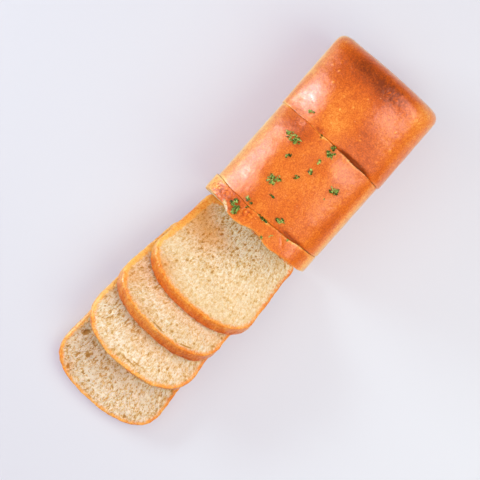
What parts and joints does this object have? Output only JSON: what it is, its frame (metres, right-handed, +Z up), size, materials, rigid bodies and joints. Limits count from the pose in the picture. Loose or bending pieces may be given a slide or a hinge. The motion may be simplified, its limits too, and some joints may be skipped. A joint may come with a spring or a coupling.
{
  "type": "garlic bread",
  "caption": "Soft tin loaf of garlic bread with a glossy browned crust and chopped parsley: the uncut end stands whole and slices are fanned out in front of it.",
  "frame": {"origin": "bottom centre of the bounding box of the whole arrangement, on the surface it stands on", "axes": "+X along the loaf toward its uncut heel, -X toward the last fanned slice, +Y across the loaf, +Z up"},
  "size_m": [0.356, 0.114, 0.093],
  "materials": {
    "crust": "thin egg-washed bread crust, orange brown and glossy",
    "crumb": "soft cream crumb full of fine holes, matte",
    "parsley": "fresh chopped curly parsley, slightly waxy, fused to the crust pieces"
  },
  "bodies": {
    "root": {"loaf_heel": "crust", "loaf_middle": "crust", "standing_slice": "crust", "fanned_slice_1": "crumb", "fanned_slice_2": "crumb", "fanned_slice_3": "crumb", "fanned_slice_4": "crumb"}
  },
  "joints": []
}
